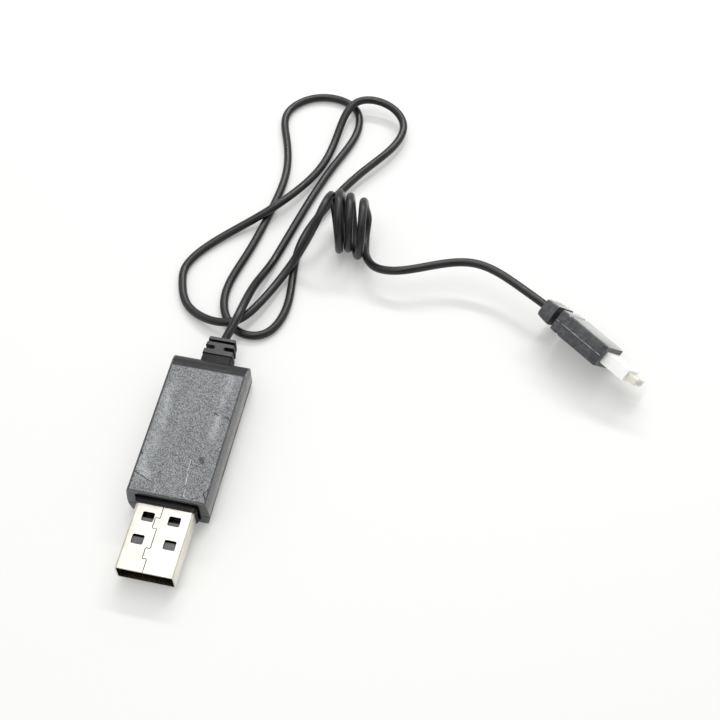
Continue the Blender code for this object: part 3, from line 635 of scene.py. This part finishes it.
def seam_cutter(mouth, top, length, look):
    """A thin wandering blade that opens the seam in the shell's top, with its two locking tabs."""
    line, corner = [(SEAM_X, -1.0)], SEAM_CORNER
    for start, end in SEAM_TABS:
        left = SEAM_X - SEAM_TAB
        line += [
            (SEAM_X, start - corner), (SEAM_X - corner, start), (left + corner, start - 0.12),
            (left, start + corner), (left + 0.03, (start + end) / 2), (left, end - corner),
            (left + corner, end + 0.12), (SEAM_X - corner, end), (SEAM_X, end + corner),
        ]
    line.append((SEAM_X, length + 1.0))
    points = np.array(line)
    across = np.gradient(points, axis=0)
    across = np.stack([across[:, 1], -across[:, 0]], axis=1)
    across /= np.linalg.norm(across, axis=1)[:, None]
    right, left = points + across * SEAM_HALF, points - across * SEAM_HALF
    outline = [(x, y + mouth) for x, y in np.concatenate([right, left[::-1]])]
    return prism("blade", outline, 2, top - 0.8, top + 0.8, look)


def make_shell(looks):
    """The shell, bent from sheet: windows with bare cut edges, a seam down its top, sides painted lighter
    as a reflection and an inside painted darker as shade.
    """
    low, high = span("usb_shell")
    middle = (0.0, (low.z + high.z) / 2)
    half_width, half_height, length = high.x, (high.z - low.z) / 2, high.y - low.y
    outer = rounded_rectangle(half_width, half_height, 0.65, middle, 10)
    inner = rounded_rectangle(half_width - SHELL_WALL, half_height - SHELL_WALL, 0.35, middle, 10)
    shell = prism("usb_shell_formed", outer, 1, low.y, high.y, looks["nickel"])
    # The bore takes a darker, browner copy of the nickel: painted shade inside the shell.
    cutters = [prism("bore", inner, 1, low.y - 1, high.y + 1, looks["inner_nickel_painted_shade"])]
    for (x, along), height in ((FRONT_WINDOWS, high.z), (REAR_WINDOWS, high.z), (LOWER_WINDOWS, low.z)):
        for side in (-1, 1):
            outline = rounded_rectangle(
                WINDOW_HALF_X, WINDOW_HALF_Y, WINDOW_RADIUS, (x * side, low.y + along)
            )
            cutters.append(prism("window", outline, 2, height - 0.8, height + 0.8, looks["brass_edge"]))
    cutters.append(seam_cutter(low.y, high.z, length, looks["brass_edge"]))
    combine(shell, "DIFFERENCE", *cutters)
    # Painted reflection: the shell's sides take a lighter copy of the nickel, standing in for the bright
    # table they reflect.
    paint_faces(shell, looks["nickel_side_reflection"], lambda at, normal: abs(at.x) > half_width - SHELL_REFLECTION_REACH)
    soften(shell, 0.05, 2)
    finish_piece(shell, "nickel_plate", "usb_shell")


def make_insulator(looks):
    """The moulding in the shell: its tongue, whose front face is painted lighter as a highlight, a recess
    under each top window with near-black painted shade, and four channels.
    """
    low, high = span("usb_insulator")
    mouth = span("usb_shell")[0].y
    contact_low, contact_high = span("usb_contact_1")
    tongue_low = contact_high.z + 0.1
    block_start = mouth + 10.6
    profile = (
        (low.y, tongue_low), (block_start, tongue_low), (block_start, low.z),
        (high.y, low.z), (high.y, high.z), (low.y, high.z),
    )
    made = prism("usb_insulator_moulded", profile, 0, low.x, high.x, looks["insulator"])
    cutters = []
    for side in (-1, 1):
        x, start = REAR_WINDOWS[0] * side, mouth + REAR_WINDOWS[1] - 0.1
        # The pocket and step walls take the collar's near-black plastic: painted shade in these recesses.
        for depth, reach in ((1.3, 0.95), (0.35, 1.35)):
            cutters.append(box(
                "pocket", (x - 1.35, start, high.z - depth), (x + 1.35, start + reach, high.z + 1),
                looks["collar"],
            ))
        x, start = FRONT_WINDOWS[0] * side, mouth + FRONT_WINDOWS[1] + 0.72
        cutters.append(box(
            "step", (x - 1.35, start, high.z - 0.45), (x + 1.35, start + 0.6, high.z + 1), looks["collar"],
        ))
    for number in range(1, 5):
        low_corner, high_corner = span(f"usb_contact_{number}")
        cutters.append(box(
            "channel", (low_corner.x - 0.2, block_start - 1, contact_low.z - 0.15),
            (high_corner.x + 0.2, high.y + 1, contact_high.z + 0.2), looks["insulator"],
        ))
    combine(made, "DIFFERENCE", *cutters)
    # Painted highlight: the tongue's front face takes a lighter grey copy of the insulator plastic.
    paint_faces(made, looks["tongue_tip_painted_light"], lambda at, normal: normal.y < -0.9 and at.y < low.y + 0.2)
    soften(made, 0.06, 2)
    finish_piece(made, "insulator_plastic", "usb_insulator")


def make_collar(looks):
    """The glossy ring round the shell, with a stepped lip and a flange behind the housing's front wall."""
    low, high = span("plug_collar")
    shell_low, shell_high = span("usb_shell")
    front_wall = span("housing_upper")[0].y
    middle = (0.0, (low.z + high.z) / 2)
    outline = rounded_rectangle(*COLLAR_HALF, 0.5, middle)
    ring = prism("plug_collar_moulded", outline, 1, low.y, high.y, looks["collar"])
    outline = rounded_rectangle(*LIP_HALF, 0.45, middle)
    lip = prism("lip", outline, 1, low.y - 0.25, low.y + 0.6, looks["collar"])
    flange = prism(
        "flange", rounded_rectangle(high.x, (high.z - low.z) / 2, 0.4, middle), 1,
        front_wall + WALL + 0.3, high.y - 0.1, looks["collar"],
    )
    combine(ring, "UNION", lip, flange)
    half_width, half_height = shell_high.x, (shell_high.z - shell_low.z) / 2
    hole = rounded_rectangle(half_width + COLLAR_PLAY, half_height + COLLAR_PLAY, 0.68, middle, 8)
    combine(ring, "DIFFERENCE", prism("hole", hole, 1, low.y - 1, high.y + 1, looks["collar"]))
    soften(ring, 0.1)
    finish_piece(ring, "collar_plastic", "plug_collar")


# ---------------------------------------------------------------- the housing

def housing_section(top):
    """The outline across the housing: nearly upright sides that lean in a little above mid height."""
    half = ((7.5, 0.0), (7.95, 0.15), (8.12, 0.45), (8.25, 0.9), (8.45, 1.7), (8.58, 2.6), (8.6, 3.4),
            (8.57, 4.2), (8.51, 5.2), (8.42, 6.2), (8.32, 7.1), (8.22, 8.0), (8.18, top))
    return list(half) + [(-x, z) for x, z in reversed(half)]


def housing_side(front, rear, top):
    """The outline from the side, with its round rear top edge."""
    points = [(front, -1.0), (rear - 0.4, -1.0), (rear - 0.4, 0.0), (rear, 0.4)]
    centre = (rear - REAR_TOP_LENGTH, top - REAR_TOP_HEIGHT)
    for step in range(17):
        angle = math.pi / 2 * step / 16
        points.append((
            centre[0] + REAR_TOP_LENGTH * math.cos(angle), centre[1] + REAR_TOP_HEIGHT * math.sin(angle)
        ))
    return points + [(front, top)]


def housing_plan(front, rear, half_width):
    """The outline from above, with its two round rear corners."""
    points = [(-10.0, front - 1), (10.0, front - 1), (10.0, rear - 6)]
    centre = (half_width - REAR_CORNER_RADIUS, rear - REAR_CORNER_RADIUS)
    right = [(half_width + 0.2, rear - 6)]
    for step in range(11):
        angle = math.pi / 2 * step / 10
        right.append((
            centre[0] + REAR_CORNER_RADIUS * math.cos(angle),
            centre[1] + REAR_CORNER_RADIUS * math.sin(angle),
        ))
    return points + right + [(-x, y) for x, y in reversed(right)] + [(-10.0, rear - 6)]


def wavy_line(front, rear, height):
    """The glue line's slightly uneven edge along the housing, from front to rear."""
    along = np.linspace(front - 2, rear + 2, 70)
    waves = 0.55 * np.sin(along * 0.75) + 0.3 * np.sin(along * 2.1 + 1) + 0.15 * np.sin(along * 4.3 + 2)
    return [(y, height + SPLIT_WAVE * w) for y, w in zip(along, waves)]


def make_housing(looks):
    """The two shells, with a grained top, smooth rounded edges whose upper ones are painted light grey as a
    highlight, and an uneven glue line.
    """
    low, high = span("housing_upper")
    front, rear, top = low.y, high.y, high.z
    smooth = looks["housing_smooth"]
    cavity = rounded_rectangle(*CAVITY_HALF, 0.8, (0.0, MIDDLE_HEIGHT))
    front_hole = rounded_rectangle(*FRONT_HOLE_HALF, 0.5, (0.0, MIDDLE_HEIGHT + 0.15))
    rear_hole = rounded_rectangle(*REAR_HOLE_HALF, 0.5, (CORD_EXIT[0], MIDDLE_HEIGHT))
    edge = wavy_line(front, rear, SPLIT_HEIGHT)
    slabs = {
        "housing_upper_shell": [(y, z + SPLIT_GAP / 2) for y, z in edge] + [(40, 15), (-40, 15)],
        "housing_lower_shell": [(y, z - SPLIT_GAP / 2) for y, z in edge] + [(40, -5), (-40, -5)],
    }
    for name, slab in slabs.items():
        half = prism(name, housing_section(top), 1, front, rear, smooth)
        combine(
            half, "INTERSECT",
            prism("side", housing_side(front, rear, top), 0, -12.0, 12.0, smooth),
            prism("plan", housing_plan(front, rear, high.x), 2, -3.0, 12.0, smooth),
            prism("slab", slab, 0, -20.0, 20.0, smooth),
        )
        combine(
            half, "DIFFERENCE",
            prism("cavity", cavity, 1, front + WALL, rear - WALL, smooth),
            prism("front_hole", front_hole, 1, front - 1, front + WALL + 0.5, smooth),
            prism("rear_hole", rear_hole, 1, rear - WALL - 0.5, rear + 1, smooth),
        )
        paint_faces(half, looks["housing_top"], lambda at, normal: normal.z > 0.9995 and at.z > top - 0.2)
        # The rounded top edges take a light grey copy of the housing's plastic: a painted highlight.
        half.data.materials.append(looks["housing_edge_highlight"])
        if name == "housing_upper_shell":
            soften(half, EDGE_RADIUS, 3, 30.0, len(half.data.materials) - 1)
        else:
            soften(half, LOWER_EDGE_RADIUS, 3, 30.0, 0)
        paint_faces(
            half, smooth,
            lambda at, normal: at.z < top - 0.6 or at.y > rear - REAR_TOP_LENGTH + 0.3 and abs(at.x) < 7.9,
        )
        finish_piece(half, "housing_plastic", name.removesuffix("_shell"))


def make_relief(looks):
    """The strain relief: a neck, a wide flange, an H web between side slots, a groove and an end flange."""
    low, high = span("strain_relief")
    rear = span("housing_upper")[1].y
    neck, tall = 3.3, 2.1
    stations = (
        (low.y, neck + 0.9, tall + 0.3), (low.y + 0.9, neck + 0.9, tall + 0.3),
        (low.y + 0.9, neck, tall - 0.2), (rear + 1.8, neck - 0.05, tall - 0.25),
        (rear + 1.8, 3.35, tall), (rear + 3.2, 3.26, tall), (rear + 4.75, 3.1, tall - 0.05),
        (rear + 4.75, 1.5, 1.3), (rear + 5.45, 1.5, 1.3),
        (rear + 5.45, 2.98, tall - 0.1), (high.y, 2.92, tall - 0.15),
    )
    relief = loft("strain_relief_moulded", [(*station, 0.4) for station in stations], looks["relief"])
    relief.data.transform(Matrix.Translation(Vector((CORD_EXIT[0], 0.0, CORD_EXIT[2])) * MM))
    web_half, slot_half, reach, slot_middle = 0.95, 0.5, 2.5, rear + 3.4
    slots = []
    for side in (-1, 1):
        outline = rounded_rectangle(
            reach, slot_half, slot_half - 0.01, (side * (web_half + reach) + CORD_EXIT[0], slot_middle), 8
        )
        slots.append(prism("slot", outline, 2, -2.0, 12.0, looks["relief"]))
    combine(relief, "DIFFERENCE", *slots)
    soften(relief, 0.14, 3)
    # Painted shade: the relief's sides, slot walls and groove are painted near black, and its neck is
    # painted the same near black.
    paint_faces(
        relief, looks["relief_painted_shade"],
        lambda at, normal: normal.z < 0.3 or at.y < rear + 1.85 or rear + 4.75 < at.y < rear + 5.45,
    )
    finish_piece(relief, "relief_plastic", "strain_relief")


# ---------------------------------------------------------------- the far connector

def make_cover(looks, place):
    """The far cover: a tail, a deep groove, V notches, a front pocket and a raised parting line; its wide
    faces are painted lighter as a sheen.
    """
    thick, wide = COVER_HALF_THICK, COVER_HALF_WIDE
    stations = (
        (-COVER_LENGTH, 1.9, 3.6, 0.8), (-17.5, 2.15, 4.2, 0.8), (-15.9, 2.3, 4.7, 0.6),
        (-14.3, 2.35, 4.9, 0.6), (-14.3, 1.3, 2.2, 0.6), (-12.9, 1.3, 2.2, 0.6),
        (-12.9, 2.5, 5.3, 0.5), (-10.6, thick, wide, 0.5), (-5.0, thick, wide, 0.5),
        (-0.3, thick, wide, 0.5), (0.0, thick - 0.2, wide - 0.2, 0.4),
    )
    cover = loft("connector_cover_moulded", stations, looks["cover"])
    x, z = PARTING_HALF
    lines = []
    for middle in (-wide - PARTING_OUT, wide + PARTING_OUT):
        lines.append(box(
            "parting_line", (-x, -12.7, middle - z), (x, -0.2, middle + z), looks["flash"],
        ))
    combine(cover, "UNION", *lines)
    x, z = POCKET_HALF
    pocket = box("pocket", (-x, -POCKET_DEPTH, -z), (x, 1.0, z), looks["cover"])
    notches = []
    for along, depth in ((-16.1, 2.0), (-10.8, 2.2)):
        for side in (-1, 1):
            outline = [(side * 3.2, along - 1.3), (side * depth, along), (side * 3.2, along + 1.3)]
            notches.append(prism("notch", outline, 2, -8.0, 8.0, looks["cover"]))
    combine(cover, "DIFFERENCE", pocket, *notches)
    # Painted sheen: the wide faces take a lighter copy of the cover's rubber.
    paint_faces(cover, looks["cover_wide_painted_sheen"], lambda at, normal: abs(normal.x) > 0.6 and abs(at.x) > 1.8)
    soften(cover, 0.13, 3, 38.0)
    cover.data.transform(place)
    finish_piece(cover, "cover_plastic", "connector_cover")
    return cover


def make_connector(looks, place):
    """The white nylon body and its thinner, clearer nose, with a V cut in its end and two pin holes."""
    x, z = BODY_HALF
    body = box("connector_body", (-x, BODY_REAR, -z), (x, BODY_FRONT, z), looks["nylon"])
    x, z = NOSE_HALF
    outline = (
        (BODY_FRONT - 1, -z), (NOSE_FRONT, -z), (NOSE_FRONT, -NOSE_NOTCH), (NOSE_FRONT - NOSE_NOTCH, 0.0),
        (NOSE_FRONT, NOSE_NOTCH), (NOSE_FRONT, z), (BODY_FRONT - 1, z),
    )
    combine(body, "UNION", prism("nose", outline, 0, -x, x, looks["nose"]))
    bores = []
    for middle in (-BORE_MIDDLE, BORE_MIDDLE):
        for name, (x, z), start, end in (
            ("bore", BORE_HALF, BODY_REAR - 1, BODY_FRONT - BORE_SHORT),
            ("pin_hole", PIN_HOLE_HALF, BODY_FRONT - 1, NOSE_FRONT + 1),
        ):
            bores.append(box(name, (-x, start, middle - z), (x, end, middle + z), looks["nose"]))
    combine(body, "DIFFERENCE", *bores)
    soften(body, 0.12, 3)
    body.data.transform(place)
    finish_piece(body, "connector_nylon", "connector_housing")
    return body


def dress_cad_nodes(looks):
    """Gives every CAD node that still shows its finished material."""
    by_node = {
        "circuit_board": "board", "charge_ic": "package", "indicator_led": "lamp",
        "resistor_1": "package", "resistor_2": "package", "capacitor": "ceramic",
        "wire_solder_red": "solder", "wire_solder_black": "solder",
        "board_wire_red": "red_wire", "board_wire_black": "black_wire",
        "connector_wire_red": "red_wire", "connector_wire_black": "black_wire",
        "connector_terminal_1": "brass", "connector_terminal_2": "brass",
    }
    for number in range(1, 5):
        by_node[f"usb_contact_{number}"] = "gold"
        by_node[f"contact_solder_{number}"] = "solder"
    for name, look in by_node.items():
        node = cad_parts[name]
        node.data.materials.clear()
        node.data.materials.append(looks[look])


def make_looks():
    """Every material, by a short name."""
    top = span("housing_upper")[1].z
    return {
        "nickel": metal("nickel_plate", (0.70, 0.672, 0.60), 0.33),
        # A lighter copy of the nickel: painted reflection on the shell's sides.
        "nickel_side_reflection": metal("nickel_side_reflection", (0.86, 0.825, 0.73), 0.36),
        # A darker copy of the nickel: painted shade inside the shell.
        "inner_nickel_painted_shade": metal("inner_nickel_painted_shade", (0.26, 0.235, 0.15), 0.22),
        "brass_edge": metal("bare_brass_edge", (0.42, 0.29, 0.12), 0.42),
        "gold": metal("gold_plate", (0.83, 0.60, 0.24), 0.28),
        "brass": metal("terminal_brass", (0.75, 0.54, 0.22), 0.36),
        "solder": metal("solder", (0.66, 0.66, 0.67), 0.3, 0.6, 0.01, 0.12),
        "insulator": moulded("insulator_plastic", (0.085, 0.088, 0.092), 0.5, 0.28, 0.03, 0.45),
        # A painted highlight for the tongue's front face.
        "tongue_tip_painted_light": moulded("tongue_tip_painted_light", (0.42, 0.43, 0.44), 0.5, 0.28, 0.02, 0.3),
        "collar": moulded(
            "collar_plastic", (0.006, 0.006, 0.007), 0.22, 0.3, 0.006, 0.2, Specular_IOR_Level=0.3,
        ),
        "housing_smooth": smooth_housing(),
        "housing_top": worn_top(top),
        # A painted highlight for the housing's rounded top edges.
        "housing_edge_highlight": moulded("housing_edge_highlight", (0.33, 0.33, 0.32), 0.34, 0.4, 0.004, 0.2),
        # Near-black painted shade for the strain relief.
        "relief_painted_shade": moulded(
            "relief_painted_shade", (0.006, 0.006, 0.007), 0.5, 0.4, 0.02, 0.5, Specular_IOR_Level=0.25,
        ),
        "relief": moulded(
            "relief_rubber", (0.055, 0.057, 0.056), 0.46, 0.22, 0.02, 0.3, Specular_IOR_Level=0.35,
        ),
        "cord": cord_jacket(),
        "cover": cover_rubber(),
        # A lighter copy of the cover's rubber: painted sheen on its wide faces, on top of the shader's
        # sheen.
        "cover_wide_painted_sheen": moulded(
            "cover_wide_painted_sheen", (0.16, 0.162, 0.155), 0.34, 0.35, 0.015, 0.5,
            Sheen_Weight=1.0, Sheen_Roughness=0.4,
        ),
        "flash": moulded("parting_flash", (0.24, 0.25, 0.255), 0.4, 1.3, 0.01, 0.97),
        "nylon": nylon("connector_nylon", (0.95, 0.96, 0.935), 0.3),
        "nose": nylon("connector_nose", (0.74, 0.725, 0.64), 0.4),
        "board": board_mask(),
        "package": moulded("package_epoxy", (0.022, 0.022, 0.024), 0.45, 0.15, 0.01, 0.2),
        "lamp": moulded("lamp_plastic", (0.66, 0.05, 0.04), 0.2, 0.4, 0.002, 0.1, Coat_Weight=0.5),
        "ceramic": moulded("capacitor_body", (0.52, 0.39, 0.25), 0.5, 0.2, 0.01, 0.15),
        "red_wire": moulded("red_insulation", (0.58, 0.03, 0.025), 0.38, 0.3, 0.006, 0.1),
        "black_wire": moulded("black_insulation", (0.02, 0.02, 0.022), 0.38, 0.3, 0.006, 0.2),
    }


# ---------------------------------------------------------------- floor and light

def make_floor():
    """A white table that is also lit a little from below, which keeps the shadows light."""
    glow = {"Emission_Color": (1.0, 1.0, 0.985, 1.0), "Emission_Strength": FLOOR_GLOW}
    look = Paint("white_table", (0.565, 0.565, 0.556), 0.6, **glow)
    look.use("Base Color", look.tones(look.noise(180.0, 2.0), 0.995, 1.005))
    half = FLOOR_HALF
    floor = box("floor", (-half, -half, -FLOOR_THICK), (half, half, 0.0), look.material)


def make_strip(name, place, size, watts):
    """A long left to right strip light over the table, aimed at the lead."""
    data = bpy.data.lights.new(name, "AREA")
    data.shape, data.size, data.size_y = "RECTANGLE", size[0] * MM, size[1] * MM
    data.energy = watts
    light = bpy.data.objects.new(name, data)
    bpy.context.scene.collection.objects.link(light)
    light.location = Vector(place) * MM
    aim = Vector(STRIP_AIM) - Vector(place)
    light.rotation_euler = aim.to_track_quat("-Z", "X").to_euler()
    light.rotation_euler.rotate_axis("Z", math.pi / 2)


def make_world():
    """White surroundings, darker near the table's level and round the camera, where a person stands."""
    world = bpy.data.worlds.new("surroundings")
    world.use_nodes = True
    bpy.context.scene.world = world
    tree = world.node_tree
    direction = tree.nodes.new("ShaderNodeTexCoord").outputs["Generated"]
    toward = (Vector(CAMERA_PLACE) - Vector(CAMERA_TARGET)).normalized()
    dot = tree.nodes.new("ShaderNodeVectorMath")
    dot.operation = "DOT_PRODUCT"
    tree.links.new(direction, dot.inputs[0])
    dot.inputs[1].default_value = toward
    height = tree.nodes.new("ShaderNodeSeparateXYZ")
    tree.links.new(direction, height.inputs[0])
    shades = []
    for value, ranges in ((dot.outputs["Value"], CAMERA_SIDE), (height.outputs["Z"], SKY_RISE)):
        shade = tree.nodes.new("ShaderNodeMapRange")
        shade.interpolation_type = "SMOOTHSTEP"
        for socket, number in zip(("From Min", "From Max", "To Min", "To Max"), ranges):
            shade.inputs[socket].default_value = number
        tree.links.new(value, shade.inputs["Value"])
        shades.append(shade.outputs["Result"])
    strength = tree.nodes.new("ShaderNodeMath")
    strength.operation = "MULTIPLY"
    for number, shade in enumerate(shades):
        tree.links.new(shade, strength.inputs[number])
    background = tree.nodes["Background"]
    background.inputs["Color"].default_value = (1.0, 1.0, 0.995, 1.0)
    tree.links.new(strength.outputs[0], background.inputs["Strength"])


def main():
    make_camera()
    looks = make_looks()
    cord = make_cord(looks["cord"])
    make_shell(looks)
    make_insulator(looks)
    make_collar(looks)
    make_housing(looks)
    make_relief(looks)
    place = far_place()
    cover = make_cover(looks, place)
    body = make_connector(looks, place)
    dress_cad_nodes(looks)
    make_floor()
    make_strip("overhead_strip", OVERHEAD_STRIP, STRIP_SIZE, OVERHEAD_WATTS)
    make_strip("rear_strip", REAR_STRIP, STRIP_SIZE, REAR_WATTS)
    make_world()
    bpy.context.scene.view_settings.view_transform = "Standard"


main()
